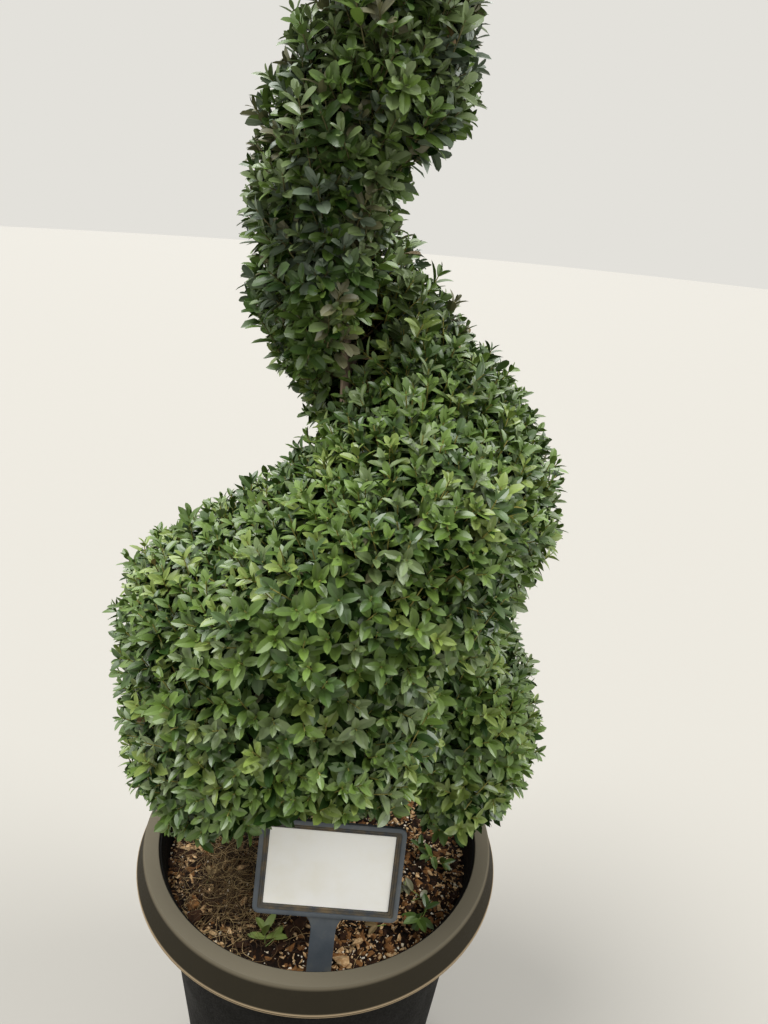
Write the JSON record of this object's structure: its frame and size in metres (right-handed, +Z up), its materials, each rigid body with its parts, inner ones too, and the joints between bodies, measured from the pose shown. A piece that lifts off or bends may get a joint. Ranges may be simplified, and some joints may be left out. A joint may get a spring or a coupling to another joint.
{
  "type": "potted spiral boxwood topiary",
  "caption": "Clipped evergreen shrub whose dense crown climbs its trunk as a spiral, in a round plastic nursery pot with a bare label holder.",
  "frame": {"origin": "centre of the pot's flat underside", "axes": "+Z up along the pot and the trunk, -Y towards the front of the picture, where the label holder stands, +X to its right"},
  "size_m": [0.5027, 0.5008, 1.5215],
  "materials": {
    "pot": "matte",
    "soil": "matte",
    "bark": "matte",
    "leaves": "satin",
    "holder": "satin",
    "card": "matte"
  },
  "bodies": {
    "root": {"pot": "pot", "soil": "soil", "trunk": "bark", "bough_01": "bark", "bough_02": "bark", "bough_03": "bark", "bough_04": "bark", "bough_05": "bark", "bough_06": "bark", "bough_07": "bark", "bough_08": "bark", "bough_09": "bark", "bough_10": "bark", "bough_11": "bark", "bough_12": "bark", "foliage_01": "leaves", "foliage_02": "leaves", "foliage_03": "leaves", "foliage_04": "leaves", "foliage_05": "leaves", "foliage_06": "leaves", "foliage_07": "leaves", "foliage_08": "leaves", "foliage_09": "leaves", "foliage_10": "leaves", "foliage_11": "leaves", "foliage_12": "leaves", "label_holder": "holder", "label_card": "card"}
  },
  "joints": []
}
